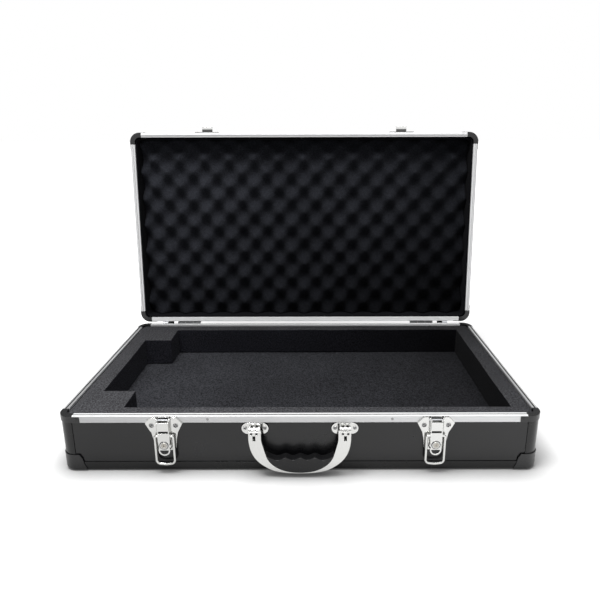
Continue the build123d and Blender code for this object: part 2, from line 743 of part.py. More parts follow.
# ================================================================== rear feet
def rear_feet(height):
    """Tapered feet on the back wall, sunk in the middle for a screw head."""
    for along in (-FOOT_X, FOOT_X):
        with BuildSketch(BACK.offset(-PANEL_OUTER + GAP)) as disc:
            with Locations((along, height)):
                Circle(FOOT_R)
        extrude(disc.sketch, amount=FOOT_LENGTH, taper=FOOT_TAPER)
        tip = FOOT_LENGTH - PANEL_OUTER + GAP
        rod(BACK, (along, height), FOOT_SINK_R, tip - FOOT_SINK, tip, Mode.SUBTRACT)
        rod(BACK, (along, height), RIVET_HOLE_R, -PANEL_OUTER, tip, Mode.SUBTRACT)


def foot_screws(height):
    """Cross-head screws that hold the feet to the wall panel."""
    seat = FOOT_LENGTH - PANEL_OUTER + GAP - FOOT_SINK
    top = seat + SCREW_HEAD_T
    for along in (-FOOT_X, FOOT_X):
        rod(BACK, (along, height), SCREW_HEAD_R, seat, top)
        rod(BACK, (along, height), RIVET_SHANK_R, -PANEL_INNER, seat)
        for cross in ((CROSS_LENGTH, CROSS_WIDTH), (CROSS_WIDTH, CROSS_LENGTH)):
            slab(BACK, (along, height), cross, top - CROSS_DEPTH, top, Mode.SUBTRACT)


with BuildPart() as tray_feet:
    rear_feet(FOOT_Z)
save(tray_feet.part, "tray_rear_feet")

with BuildPart() as tray_foot_screws:
    foot_screws(FOOT_Z)
save(tray_foot_screws.part, "tray_foot_screws")

with BuildPart() as lid_feet:
    rear_feet(LID_FOOT_Z)
save_lid(lid_feet.part, "lid_rear_feet")

with BuildPart() as lid_foot_screws:
    foot_screws(LID_FOOT_Z)
save_lid(lid_foot_screws.part, "lid_foot_screws")

# ================================================================== latch base plates
PLATE_OUTLINE = [
    (-17.7, 86.5),
    (-26.3, 77.5),
    (-18.5, 62.0),
    (-16.5, 52.0),
    (-15.0, 38.0),
    (-10.0, 34.5),
    (10.0, 34.5),
    (15.0, 38.0),
    (16.5, 52.0),
    (18.5, 62.0),
    (26.3, 77.5),
    (17.7, 86.5),
]
PLATE_ROUNDS = (2.0, 2.5, 6.0, 8.0, 4.0, 4.0, 4.0, 4.0, 8.0, 6.0, 2.5, 2.0)
SHOULDER_OUTLINE = [(10.3, 86.3), (17.6, 86.3), (25.8, 77.5), (19.0, 64.8), (15.4, 62.4), (10.3, 66.0)]
SHOULDER_ROUND = 1.8
with BuildPart() as latch_plates:
    for centre in (-LATCH_X, LATCH_X):
        with BuildSketch(FRONT.offset(GAP)) as plate_face:
            with BuildLine() as plate_edge:
                FilletPolyline(
                    *[(centre + x, z) for x, z in PLATE_OUTLINE], radius=PLATE_ROUNDS, close=True
                )
            make_face(plate_edge.edges())
        extrude(plate_face.sketch, amount=PLATE_THICK)
        for side in (-1, 1):
            with BuildSketch(FRONT.offset(GAP + PLATE_THICK)) as shoulder_face:
                with BuildLine() as shoulder_edge:
                    FilletPolyline(
                        *[(centre + side * x, z) for x, z in SHOULDER_OUTLINE],
                        radius=SHOULDER_ROUND,
                        close=True,
                    )
                make_face(shoulder_edge.edges())
            extrude(shoulder_face.sketch, amount=SHOULDER_THICK)
            well = (centre + side * PLATE_RIVET_X, PLATE_RIVET_Z)
            well_floor = GAP + PLATE_THICK
            rod(FRONT, well, SHOULDER_WELL_R, well_floor, well_floor + SHOULDER_THICK, Mode.SUBTRACT)
            ear_low = centre + side * (EAR_INNER + EAR_THICK / 2) - EAR_THICK / 2
            ear(ear_low, ear_low + EAR_THICK, LEVER_PIVOT_OUT, LEVER_PIVOT_Z, EAR_R)
        pin_hole = (-HALF_D - LEVER_PIVOT_OUT, LEVER_PIVOT_Z, LEVER_PIN_R + PIN_FIT, Mode.SUBTRACT)
        cross_rod(centre - BORE_HALF, centre + BORE_HALF, *pin_hole)
    for hole in LATCH_HOLES:
        rod(FRONT, hole, RIVET_HOLE_R, 0, OVERCUT, Mode.SUBTRACT)
save(latch_plates.part, "latch_base_plates")

with BuildPart() as latch_rivets:
    for hole in LATCH_HOLES:
        rivet(FRONT, hole, PLATE_THICK + GAP, -PANEL_INNER)
save(latch_rivets.part, "latch_rivets")

with BuildPart() as lever_pins:
    for centre in (-LATCH_X, LATCH_X):
        pin_y = -HALF_D - LEVER_PIVOT_OUT
        pin_ends = (centre - LEVER_PIN_HALF, centre + LEVER_PIN_HALF)
        cross_rod(*pin_ends, pin_y, LEVER_PIVOT_Z, LEVER_PIN_R)
save(lever_pins.part, "latch_pivot_pins")

# ================================================================== latch levers
for hand, centre in (("left", -LATCH_X), ("right", LATCH_X)):
    with BuildPart() as lever:
        with BuildSketch(FRONT.offset(LEVER_FACE_IN)) as lever_face:
            Polygon(
                (centre - LEVER_HALF, LEVER_FACE_TOP),
                (centre - LEVER_HALF, LEVER_WAIST_Z),
                (centre - LEVER_NECK, LEVER_NECK_Z),
                (centre - LEVER_TIP, FINGER_Z),
                (centre + LEVER_TIP, FINGER_Z),
                (centre + LEVER_NECK, LEVER_NECK_Z),
                (centre + LEVER_HALF, LEVER_WAIST_Z),
                (centre + LEVER_HALF, LEVER_FACE_TOP),
                align=None,
            )
            with Locations((centre, FINGER_Z)):
                Circle(FINGER_R)
        extrude(lever_face.sketch, amount=LEVER_FACE - LEVER_FACE_IN)
        cover_height = LEVER_FACE_TOP - LEVER_STEP_Z
        cover_middle = (centre, LEVER_STEP_Z + cover_height / 2)
        slab(FRONT, cover_middle, (2 * LEVER_HALF, cover_height), LEVER_FACE, LEVER_COVER)
        side_size = (LEVER_SIDE_OUTER - LEVER_SIDE_INNER, LEVER_TOP - LEVER_WAIST_Z)
        side_x = (LEVER_SIDE_INNER + LEVER_SIDE_OUTER) / 2
        side_z = (LEVER_TOP + LEVER_WAIST_Z) / 2
        for side in (-1, 1):
            slab(FRONT, (centre + side * side_x, side_z), side_size, LEVER_BACK, LEVER_FACE_IN)
        fillet(lever.faces().sort_by(Axis.Y)[0].edges(), EDGE_ROUND)
        slot_middle = (centre, LEVER_STEP_Z - LEVER_SLOT_HEIGHT / 2)
        slot_size = (LEVER_SLOT_WIDTH, LEVER_SLOT_HEIGHT)
        slab(FRONT, slot_middle, slot_size, LEVER_FACE_IN, LEVER_COVER, Mode.SUBTRACT)
        lock = (centre, KEY_Z)
        rod(FRONT, lock, LOCK_RECESS_R, LOCK_RECESS_FACE, LEVER_FACE, Mode.SUBTRACT)
        rod(FRONT, lock, LOCK_RING_R, LOCK_BACK, LOCK_RING_FACE)
        rod(FRONT, lock, KEY_R + PIVOT_CLEAR, LOCK_BACK, LOCK_RING_FACE, Mode.SUBTRACT)
        with BuildSketch(FRONT.offset(LEVER_FACE_IN)) as finger_hole:
            with Locations((centre, FINGER_Z)):
                Circle(FINGER_HOLE_R)
            with Locations((centre, FINGER_HOLE_TOP + FINGER_HOLE_R)):
                Rectangle(2 * FINGER_HOLE_R, 2 * FINGER_HOLE_R, mode=Mode.SUBTRACT)
        extrude(finger_hole.sketch, amount=LEVER_FACE - LEVER_FACE_IN, mode=Mode.SUBTRACT)
        bail_hole = (-HALF_D - BAIL_OUT, BAIL_PIVOT_Z, WIRE_R + PIVOT_CLEAR, Mode.SUBTRACT)
        cross_rod(centre - BORE_HALF, centre + BORE_HALF, *bail_hole)
        pin_bore = LEVER_PIN_R + PIVOT_CLEAR
        pin_hole = (-HALF_D - LEVER_PIVOT_OUT, LEVER_PIVOT_Z, pin_bore, Mode.SUBTRACT)
        cross_rod(centre - BORE_HALF, centre + BORE_HALF, *pin_hole)
    save(lever.part, hand + "_latch_lever")

    with BuildPart() as key_plug:
        rod(FRONT, lock, KEY_R, KEY_BACK, KEY_FACE)
        fillet(key_plug.faces().sort_by(Axis.Y)[0].edges(), EDGE_ROUND)
        slab(FRONT, lock, KEYWAY_SIZE, KEY_FACE - KEYWAY_DEPTH, KEY_FACE, Mode.SUBTRACT)
    save(key_plug.part, hand + "_latch_key_plug")

    with BuildPart() as bail:
        wire_plane = FRONT.offset(BAIL_OUT)
        with BuildLine(wire_plane) as wire_line:
            FilletPolyline(
                (centre - BAIL_STUB, BAIL_PIVOT_Z),
                (centre - BAIL_HALF, BAIL_PIVOT_Z),
                (centre - BAIL_HALF, BAIL_BAR_Z + BAIL_SAG),
                (centre, BAIL_BAR_Z),
                (centre + BAIL_HALF, BAIL_BAR_Z + BAIL_SAG),
                (centre + BAIL_HALF, BAIL_PIVOT_Z),
                (centre + BAIL_STUB, BAIL_PIVOT_Z),
                radius=BAIL_ROUNDS,
            )
        start = wire_line.line @ 0
        with BuildSketch(Plane(origin=start, z_dir=wire_line.line % 0)) as wire_section:
            Circle(WIRE_R)
        sweep(wire_section.sketch, path=wire_line.line)
    save(bail.part, hand + "_latch_bail")

# ================================================================== strikes on the lid
with BuildPart() as strikes:
    for centre in (-STRIKE_X, STRIKE_X):
        plate_middle = (centre, (STRIKE_PLATE_LOW + STRIKE_PLATE_HIGH) / 2)
        plate_size = (STRIKE_PLATE_WIDTH, STRIKE_PLATE_HIGH - STRIKE_PLATE_LOW)
        plate_face = PLATE_THICK + GAP
        slab(FRONT, plate_middle, plate_size, GAP, plate_face)
        ledge_middle = (centre, STRIKE_LEDGE_Z - PLATE_THICK / 2)
        slab(FRONT, ledge_middle, (STRIKE_HOOK_WIDTH, PLATE_THICK), plate_face, STRIKE_REACH)
        lip_low = STRIKE_LEDGE_Z - PLATE_THICK
        lip_middle = (centre, (lip_low + STRIKE_LIP_TOP) / 2)
        lip_size = (STRIKE_HOOK_WIDTH, STRIKE_LIP_TOP - lip_low)
        slab(FRONT, lip_middle, lip_size, STRIKE_REACH - PLATE_THICK, STRIKE_REACH)
    fillet(strikes.edges().filter_by(Axis.Y).group_by(SortBy.LENGTH)[0], STRIKE_BEND)
    fillet(strikes.edges().filter_by(Axis.X).group_by(Axis.Y)[0], STRIKE_BEND)
    for hole in STRIKE_HOLES:
        rod(FRONT, hole, RIVET_HOLE_R, 0, OVERCUT, Mode.SUBTRACT)
save_lid(strikes.part, "lid_strikes")

with BuildPart() as strike_rivets:
    for hole in STRIKE_HOLES:
        rivet(FRONT, hole, PLATE_THICK + GAP, -PANEL_INNER)
save_lid(strike_rivets.part, "strike_rivets")

# ================================================================== handle brackets
with BuildPart() as brackets:
    for side in (-1, 1):
        with BuildSketch(FRONT.offset(GAP)) as oval:
            with Locations((side * BRACKET_X, BRACKET_Z)):
                SlotOverall(BRACKET_WIDTH, BRACKET_HEIGHT)
        extrude(oval.sketch, amount=PLATE_THICK)
        for ear_low, ear_high in (MIDDLE_EAR, OUTER_EAR, (-OUTER_EAR[1], -OUTER_EAR[0])):
            middle = side * BRACKET_X
            ear(middle + ear_low, middle + ear_high, PIVOT_OUT, PIVOT_Z, PIVOT_EAR_R)
    pin_bore = PIVOT_PIN_R + PIN_FIT
    cross_rod(-HALF_W, HALF_W, -HALF_D - PIVOT_OUT, PIVOT_Z, pin_bore, Mode.SUBTRACT)
    for hole in BRACKET_HOLES:
        rod(FRONT, hole, RIVET_HOLE_R, 0, OVERCUT, Mode.SUBTRACT)
save(brackets.part, "handle_brackets")

with BuildPart() as bracket_rivets:
    for hole in BRACKET_HOLES:
        rivet(FRONT, hole, PLATE_THICK + GAP, -PANEL_INNER)
save(bracket_rivets.part, "handle_bracket_rivets")

with BuildPart() as pivot_pins:
    for side in (-1, 1):
        pin_low = side * BRACKET_X - OUTER_EAR[1]
        pin_high = side * BRACKET_X + OUTER_EAR[1]
        cross_rod(pin_low, pin_high, -HALF_D - PIVOT_OUT, PIVOT_Z, PIVOT_PIN_R)
save(pivot_pins.part, "handle_pivot_pins")

# ================================================================== handle
# The plated crescent thins to a narrow band under the grip, which fills its inner side.
OUTER_CURVE = [
    (-70.2, 52.5),
    (-68.3, 43.1),
    (-64.4, 33.6),
    (-57.2, 24.0),
    (-49.2, 17.4),
    (-39.0, 11.6),
    (-24.0, 7.6),
    (0, 6.2),
]
INNER_CURVE = [
    (-50.4, 46.2),
    (-47.3, 35.0),
    (-43.9, 27.2),
    (-38.9, 20.8),
    (-30.3, 14.4),
    (-23.7, 11.2),
    (-12.2, 8.4),
    (0, 7.6),
]
ARM_OUTER = (-70.9, 60)
ARM_INNER = (-53.2, 60)
GRIP_WAVES = [
    (-43.0, 32.2),
    (-36.5, 29.0),
    (-29.9, 28.2),
    (-20.6, 31.6),
    (-9.6, 28.2),
    (0.6, 31.6),
    (10.6, 28.2),
    (20.8, 31.6),
    (30.0, 28.2),
    (36.5, 29.0),
    (43.0, 32.2),
]
GRIP_GAP = 0.12
SEAT_STEPS = 16
SEAT_START = 0.155


def mirrored(points):
    """Points on the left of the middle, then the same points on the right."""
    return points + [(-x, z) for x, z in reversed(points[:-1])]


def arm_curve(top, points):
    """Smooth line down one arm, across the bottom and up the other arm."""
    path = [top] + mirrored(points) + [(-top[0], top[1])]
    return Spline(*path, tangents=((0, -1), (0, 1)), tangent_scalars=(0.8, 0.8))


with BuildLine() as inner_line:
    arm_curve(ARM_INNER, INNER_CURVE)

seat = []
for step in range(SEAT_STEPS + 1):
    t = SEAT_START + (1 - 2 * SEAT_START) * step / SEAT_STEPS
    along = inner_line.line % t
    seat.append(inner_line.line @ t + Vector(-along.Y, along.X) * GRIP_GAP)

with BuildPart() as handle_frame:
    with BuildSketch(FRONT.offset(ARM_BACK)) as crescent:
        with BuildLine() as crescent_line:
            arm_curve(ARM_OUTER, OUTER_CURVE)
            arm_curve(ARM_INNER, INNER_CURVE)
            for side in (-1, 1):
                outer_x = -side * ARM_OUTER[0]
                inner_x = -side * ARM_INNER[0]
                height = ARM_OUTER[1]
                Polyline((outer_x, height), (outer_x, ARM_TOP), (inner_x, ARM_TOP), (inner_x, height))
        make_face()
    extrude(amount=ARM_FACE - ARM_BACK)
    fillet(handle_frame.faces().sort_by(Axis.Y)[0].edges(), EDGE_ROUND)
    for side in (-1, 1):
        for lug_low, lug_high in (LUG, (-LUG[1], -LUG[0])):
            with BuildSketch(Plane.YZ.offset(side * BRACKET_X + lug_low)) as lug_face:
                with Locations((-HALF_D - PIVOT_OUT, PIVOT_Z)):
                    Circle(PIVOT_LUG_R)
                with Locations((-HALF_D - (PIVOT_OUT + LUG_END) / 2, PIVOT_Z - LUG_DROP)):
                    Rectangle(LUG_END - PIVOT_OUT, 2 * (PIVOT_LUG_R - LUG_DROP))
            extrude(lug_face.sketch, amount=lug_high - lug_low)
        slot_middle = (side * BRACKET_X, (ARM_SLOT_LOW + ARM_SLOT_HIGH) / 2)
        slot_size = (ARM_SLOT_WIDTH, ARM_SLOT_HIGH - ARM_SLOT_LOW)
        slab(FRONT, slot_middle, slot_size, ARM_BACK, ARM_FACE, Mode.SUBTRACT)
        for pocket_side in (-1, 1):
            pocket = (side * BRACKET_X + pocket_side * ARM_POCKET_X, ARM_POCKET_Z)
            pocket_floor = ARM_FACE - ARM_POCKET_DEPTH
            slab(FRONT, pocket, ARM_POCKET_SIZE, pocket_floor, ARM_FACE, Mode.SUBTRACT)
    pin_bore = PIVOT_PIN_R + PIVOT_CLEAR
    cross_rod(-HALF_W, HALF_W, -HALF_D - PIVOT_OUT, PIVOT_Z, pin_bore, Mode.SUBTRACT)
save(handle_frame.part, "handle_frame")

with BuildPart() as handle_grip:
    with BuildSketch(FRONT.offset(GRIP_BACK)) as grip_face:
        with BuildLine() as grip_line:
            Spline(*seat)
            Spline(seat[0], *GRIP_WAVES, seat[-1])
        make_face()
    extrude(amount=GRIP_FACE - GRIP_BACK)
    grip_rims = handle_grip.faces().sort_by(Axis.Y)[0].edges()
    grip_rims += handle_grip.faces().sort_by(Axis.Y)[-1].edges()
    fillet(grip_rims, GRIP_ROUND)
save(handle_grip.part, "handle_grip")
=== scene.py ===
import json
import math

import bpy
import numpy as np
from mathutils import Matrix, Vector


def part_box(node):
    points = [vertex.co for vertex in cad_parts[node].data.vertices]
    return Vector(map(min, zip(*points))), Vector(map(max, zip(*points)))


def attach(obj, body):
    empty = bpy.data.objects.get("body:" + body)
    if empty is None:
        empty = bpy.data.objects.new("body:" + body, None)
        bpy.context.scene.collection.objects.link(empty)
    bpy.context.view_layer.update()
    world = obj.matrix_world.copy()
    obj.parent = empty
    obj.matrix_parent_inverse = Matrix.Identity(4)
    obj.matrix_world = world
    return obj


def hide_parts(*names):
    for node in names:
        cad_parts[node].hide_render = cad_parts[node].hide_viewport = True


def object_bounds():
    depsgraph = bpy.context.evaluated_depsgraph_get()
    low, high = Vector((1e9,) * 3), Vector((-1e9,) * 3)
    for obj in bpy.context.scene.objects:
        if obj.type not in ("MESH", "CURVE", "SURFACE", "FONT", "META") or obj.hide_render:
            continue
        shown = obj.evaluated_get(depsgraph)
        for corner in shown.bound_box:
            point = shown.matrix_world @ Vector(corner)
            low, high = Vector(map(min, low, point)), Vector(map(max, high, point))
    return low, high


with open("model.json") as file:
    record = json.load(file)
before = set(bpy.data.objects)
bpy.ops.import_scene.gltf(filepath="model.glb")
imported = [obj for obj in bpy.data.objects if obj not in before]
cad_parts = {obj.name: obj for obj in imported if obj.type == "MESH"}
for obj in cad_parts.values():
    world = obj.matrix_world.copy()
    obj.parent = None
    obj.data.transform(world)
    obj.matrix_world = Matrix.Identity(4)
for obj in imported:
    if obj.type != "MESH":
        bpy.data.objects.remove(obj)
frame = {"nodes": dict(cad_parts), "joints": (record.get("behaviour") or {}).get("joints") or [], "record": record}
cad_low, cad_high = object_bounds()
nodes = frame["nodes"]
record = frame["record"]
MM = 0.001

# ------------------------------------------------------------------ the lid's own frame
# The lid is built in its closed place and leaned back about the hinge, as the CAD is.
lid_joint = next(j for j in frame["joints"] if j["name"] == "lid_hinge")
HINGE = Vector(lid_joint["pos_m"])
OPEN = math.radians(lid_joint["range_deg"][1])
LEAN_BACK = Matrix.Translation(HINGE) @ Matrix.Rotation(-OPEN, 4, "X") @ Matrix.Translation(-HINGE)
CLOSE = LEAN_BACK.inverted()


def closed_box(node):
    """Lowest and highest corner of a lid node with the lid closed."""
    points = np.array([CLOSE @ v.co for v in nodes[node].data.vertices])
    return Vector(points.min(0)), Vector(points.max(0))


# ------------------------------------------------------------------ node helpers
def new_material(name):
    made = bpy.data.materials.new(name)
    made.use_nodes = True
    tree = made.node_tree
    tree.nodes.clear()
    out = tree.nodes.new("ShaderNodeOutputMaterial")
    shader = tree.nodes.new("ShaderNodeBsdfPrincipled")
    tree.links.new(shader.outputs[0], out.inputs["Surface"])
    return made, tree, shader


def coords(tree, scale=(1, 1, 1), turn=0.0):
    """Object coordinates in metres, scaled along each axis after a turn about X."""
    where = tree.nodes.new("ShaderNodeTexCoord")
    turned = tree.nodes.new("ShaderNodeMapping")
    turned.inputs["Rotation"].default_value = (turn, 0, 0)
    tree.links.new(where.outputs["Object"], turned.inputs["Vector"])
    mapped = tree.nodes.new("ShaderNodeMapping")
    mapped.inputs["Scale"].default_value = scale
    tree.links.new(turned.outputs[0], mapped.inputs["Vector"])
    return mapped.outputs[0]


def noise(tree, vector, scale, detail=3.0, rough=0.55):
    made = tree.nodes.new("ShaderNodeTexNoise")
    made.inputs["Scale"].default_value = scale
    made.inputs["Detail"].default_value = detail
    made.inputs["Roughness"].default_value = rough
    tree.links.new(vector, made.inputs["Vector"])
    return made.outputs["Fac"]


def voronoi(tree, vector, scale, feature="F1", jitter=1.0):
    made = tree.nodes.new("ShaderNodeTexVoronoi")
    made.feature = feature
    made.inputs["Scale"].default_value = scale
    made.inputs["Randomness"].default_value = jitter
    tree.links.new(vector, made.inputs["Vector"])
    return made.outputs["Distance"]


def ramp(tree, fac, low, high, a=0.0, b=1.0):
    """Maps a grey input between two positions onto low..high."""
    made = tree.nodes.new("ShaderNodeMapRange")
    made.inputs["From Min"].default_value = a
    made.inputs["From Max"].default_value = b
    made.inputs["To Min"].default_value = low
    made.inputs["To Max"].default_value = high
    tree.links.new(fac, made.inputs["Value"])
    return made.outputs[0]


def mixed(tree, fac, first, second):
    made = tree.nodes.new("ShaderNodeMix")
    made.data_type = "RGBA"
    tree.links.new(fac, made.inputs["Factor"])
    for socket, value in ((made.inputs[6], first), (made.inputs[7], second)):
        if isinstance(value, tuple):
            socket.default_value = (*value, 1)
        else:
            tree.links.new(value, socket)
    return made.outputs[2]


def scaled(tree, colour, factor):
    """A colour multiplied by a grey value."""
    made = tree.nodes.new("ShaderNodeVectorMath")
    made.operation = "SCALE"
    tree.links.new(colour, made.inputs[0])
    tree.links.new(factor, made.inputs["Scale"])
    return made.outputs[0]


def split(tree, vector):
    """The X, Y and Z outputs of a vector."""
    made = tree.nodes.new("ShaderNodeSeparateXYZ")
    tree.links.new(vector, made.inputs[0])
    return made.outputs


def math_node(tree, operation, first, second):
    made = tree.nodes.new("ShaderNodeMath")
    made.operation = operation
    for socket, value in zip(made.inputs, (first, second)):
        if isinstance(value, (int, float)):
            socket.default_value = value
        else:
            tree.links.new(value, socket)
    return made.outputs[0]


def bump(tree, shader, height, strength, distance, radius=0.0):
    """Bump from a height, over normals rounded at the edges when a radius is given."""
    made = tree.nodes.new("ShaderNodeBump")
    made.inputs["Strength"].default_value = strength
    made.inputs["Distance"].default_value = distance
    tree.links.new(height, made.inputs["Height"])
    if radius:
        edge = tree.nodes.new("ShaderNodeBevel")
        edge.samples = 4
        edge.inputs["Radius"].default_value = radius
        tree.links.new(edge.outputs[0], made.inputs["Normal"])
    tree.links.new(made.outputs[0], shader.inputs["Normal"])


def edge_mask(tree, radius):
    """1 where the surface turns sharply, 0 on flats."""
    edge = tree.nodes.new("ShaderNodeBevel")
    edge.samples = 4
    edge.inputs["Radius"].default_value = radius
    flat = tree.nodes.new("ShaderNodeNewGeometry")
    dot = tree.nodes.new("ShaderNodeVectorMath")
    dot.operation = "DOT_PRODUCT"
    tree.links.new(edge.outputs[0], dot.inputs[0])
    tree.links.new(flat.outputs["Normal"], dot.inputs[1])
    return ramp(tree, dot.outputs["Value"], 1.0, 0.0, 0.8, 0.99)


# ------------------------------------------------------------------ materials
def aluminium(name, along, metal, grey, turn=0.0, ends=(1.0, 1.0)):
    """Satin extrusion: die lines run along the rail, with faint handling marks.

    turn is the lean of the piece about X, and ends holds the brightness at its left and
    right end, between which the colour ramps across as painted light.
    """
    made, tree, shader = new_material(name)
    streak = [1400.0, 1400.0, 1400.0]
    streak[along] = 3.0
    lines = noise(tree, coords(tree, tuple(streak), turn), 1.0, 2.0)
    cloud = noise(tree, coords(tree), 38.0, 4.0)
    scuff = noise(tree, coords(tree), 900.0, 3.0)
    tone = (grey, grey * 1.005, grey * 1.01)
    shade = mixed(tree, ramp(tree, lines, 0, 1, 0.3, 0.7), tuple(c * 0.86 for c in tone), tone)
    edge_wear_and_highlight = math_node(tree, "MULTIPLY", edge_mask(tree, 0.0006), ramp(tree, scuff, 0, 1, 0.4, 0.6))
    wear_and_painted_light = mixed(tree, edge_wear_and_highlight, shade, (0.9, 0.9, 0.9))
    # Painted light: the colour ramps across x between the two end brightnesses.
    rub_and_painted_light = scaled(tree, wear_and_painted_light, ramp(tree, split(tree, coords(tree))["X"], *ends, -0.3, 0.3))
    tree.links.new(rub_and_painted_light, shader.inputs["Base Color"])
    shader.inputs["Metallic"].default_value = metal
    base = ramp(tree, lines, 0.30, 0.44, 0.3, 0.7)
    rough = math_node(tree, "ADD", base, ramp(tree, cloud, -0.04, 0.08))
    tree.links.new(rough, shader.inputs["Roughness"])
    shader.inputs["Anisotropic"].default_value = 0.5
    bump(tree, shader, lines, 0.12, 0.00004, 0.0004)
    return made


def laminate(name, tone, rough, shine, grain=1500.0, depth=0.00006):
    """Black sheet with a fine pebbled grain, faint streaks and dulled edges."""
    made, tree, shader = new_material(name)
    pebble = voronoi(tree, coords(tree), grain, "SMOOTH_F1")
    fine = noise(tree, coords(tree), grain * 2.2, 2.0)
    cloud = noise(tree, coords(tree), 16.0, 4.0)
    light = tuple(c * 1.35 + 0.003 for c in tone)
    shade = mixed(tree, ramp(tree, cloud, 0.1, 0.9, 0.3, 0.7), tone, light)
    fleck = mixed(tree, ramp(tree, fine, 0, 0.6, 0.55, 0.85), shade, tuple(c * 1.9 for c in tone))
    edge_wear_and_highlight = math_node(tree, "MULTIPLY", edge_mask(tree, 0.0007), 0.3)
    wear_and_painted_light = mixed(tree, edge_wear_and_highlight, fleck, (0.05, 0.05, 0.052))
    tree.links.new(wear_and_painted_light, shader.inputs["Base Color"])
    tree.links.new(ramp(tree, cloud, rough - 0.07, rough + 0.09), shader.inputs["Roughness"])
    shader.inputs["Specular IOR Level"].default_value = shine
    height = math_node(tree, "ADD", pebble, math_node(tree, "MULTIPLY", fine, 0.4))
    bump(tree, shader, height, 0.45, depth, 0.0004)
    return made


def moulded(name, tone, rough, shine=0.5, radius=0.0006, grain=700.0, rub_and_painted_light=0.012):
    """Moulded plastic or rubber with a spark-eroded texture and lightened edges: rub, and with a large last
    argument mostly a painted highlight.
    """
    made, tree, shader = new_material(name)
    fine = noise(tree, coords(tree), grain, 5.0, 0.7)
    cloud = noise(tree, coords(tree), 45.0, 3.0)
    shade = mixed(tree, cloud, tone, tuple(c * 1.6 + 0.002 for c in tone))
    patchy = ramp(tree, cloud, 0, 0.6, 0.4, 0.7)
    # Lightened edges: rub, and where the edge lift is large (the grip) mostly a painted highlight.
    edge_wear_and_highlight = math_node(tree, "MULTIPLY", edge_mask(tree, radius * 1.5), patchy)
    wear_and_painted_light = mixed(tree, edge_wear_and_highlight, shade, tuple(c * 3 + rub_and_painted_light for c in tone))
    tree.links.new(wear_and_painted_light, shader.inputs["Base Color"])
    tree.links.new(ramp(tree, fine, rough - 0.08, rough + 0.1, 0.3, 0.7), shader.inputs["Roughness"])
    shader.inputs["Specular IOR Level"].default_value = shine
    bump(tree, shader, fine, 0.35, 0.00008, radius)
    return made


def plated(name, tone, rough, ripple=0.35, shade_below=None):
    """Bright plate over a pressing: soft ripples, pits, and, when two heights are given, painted shade darkening
    it downwards.

    The last argument holds two heights, between which the plate darkens downwards as painted shade.
    """
    made, tree, shader = new_material(name)
    wave = noise(tree, coords(tree), 150.0, 2.0)
    pits = noise(tree, coords(tree), 1400.0, 4.0, 0.7)
    cloud = noise(tree, coords(tree), 60.0, 4.0)
    shade = mixed(tree, ramp(tree, pits, 0, 1, 0.35, 0.65), tuple(c * 0.82 for c in tone), tone)
    wear_and_painted_light = mixed(tree, edge_mask(tree, 0.0005), shade, (0.92, 0.92, 0.91))
    # Painted shade: the plate darkens downwards between the two given heights.
    if shade_below:
        wear_and_painted_light = scaled(tree, wear_and_painted_light, ramp(tree, split(tree, coords(tree))["Z"], 0.12, 1.0, *shade_below))
    tree.links.new(wear_and_painted_light, shader.inputs["Base Color"])
    shader.inputs["Metallic"].default_value = 1.0
    tree.links.new(ramp(tree, cloud, rough - 0.05, rough + 0.1, 0.3, 0.7), shader.inputs["Roughness"])
    waves = math_node(tree, "MULTIPLY", wave, 2.0)
    height = math_node(tree, "ADD", waves, math_node(tree, "MULTIPLY", pits, 0.25))
    bump(tree, shader, height, ripple, 0.00012, 0.0004)
    return made


def foam(name, tone, cell, depth, painted_light_slope, sheen=0.015, fleck=2.2, speckle=0.6):
    """Foam: open pores at cell size, brighter cut walls between them and slow colour drift.

    The fifth argument holds the brightness at the origin and its change per metre along x, y and z:
    painted light and shade across the foam.
    """
    made, tree, shader = new_material(name)
    where = coords(tree)
    pores = voronoi(tree, where, cell, "F1")
    walls = voronoi(tree, where, cell * 0.55, "DISTANCE_TO_EDGE")
    grit = noise(tree, where, cell * 1.7, 4.0, 0.7)
    drift = noise(tree, where, 11.0, 4.0)
    clump = noise(tree, where, 420.0, 3.0, 0.7)
    dark, light = (tuple(c * k for c in tone) for k in (0.85, 1.15))
    even = mixed(tree, ramp(tree, drift, 0, 1, 0.3, 0.7), dark, light)
    grain = scaled(tree, even, ramp(tree, clump, 1 - speckle, 1 + speckle, 0.38, 0.62))
    # Painted light and shade: the brightness follows a slope in x, y and z.
    slope = tree.nodes.new("ShaderNodeVectorMath")
    slope.operation = "DOT_PRODUCT"
    slope.inputs[1].default_value = painted_light_slope[1:]
    tree.links.new(where, slope.inputs[0])
    wear_and_painted_light = math_node(tree, "ADD", slope.outputs["Value"], painted_light_slope[0])
    shade = scaled(tree, grain, math_node(tree, "MAXIMUM", wear_and_painted_light, 0.25))
    spot = scaled(tree, shade, ramp(tree, grit, 1.0, fleck, 0.52, 0.75))
    pore = scaled(tree, spot, ramp(tree, pores, 0.5, 1.0, 0.1, 0.45))
    tree.links.new(pore, shader.inputs["Base Color"])
    tree.links.new(ramp(tree, grit, 0.88, 1.0), shader.inputs["Roughness"])
    shader.inputs["Specular IOR Level"].default_value = 0.02
    shader.inputs["Sheen Weight"].default_value = sheen
    shader.inputs["Sheen Roughness"].default_value = 0.6
    height = math_node(tree, "ADD", pores, math_node(tree, "MULTIPLY", walls, 0.6))
    height = math_node(tree, "ADD", height, math_node(tree, "MULTIPLY", grit, 0.5))
    bump(tree, shader, height, 0.6, depth)
    return made


# Lighter towards the right end: painted light.
RAIL_X = aluminium("rail_along_x", 0, 0.3, 0.8, 0.0, (0.88, 1.2))
# A lighter copy for the front rail's top: painted highlight.
RAIL_RIM_HIGHLIGHT = aluminium("rail_rim_painted_highlight", 0, 0.3, 0.96)
RAIL_Y = aluminium("rail_along_y", 1, 0.8, 0.8)
RAIL_LID_X = aluminium("lid_rail_along_x", 0, 0.3, 0.9)
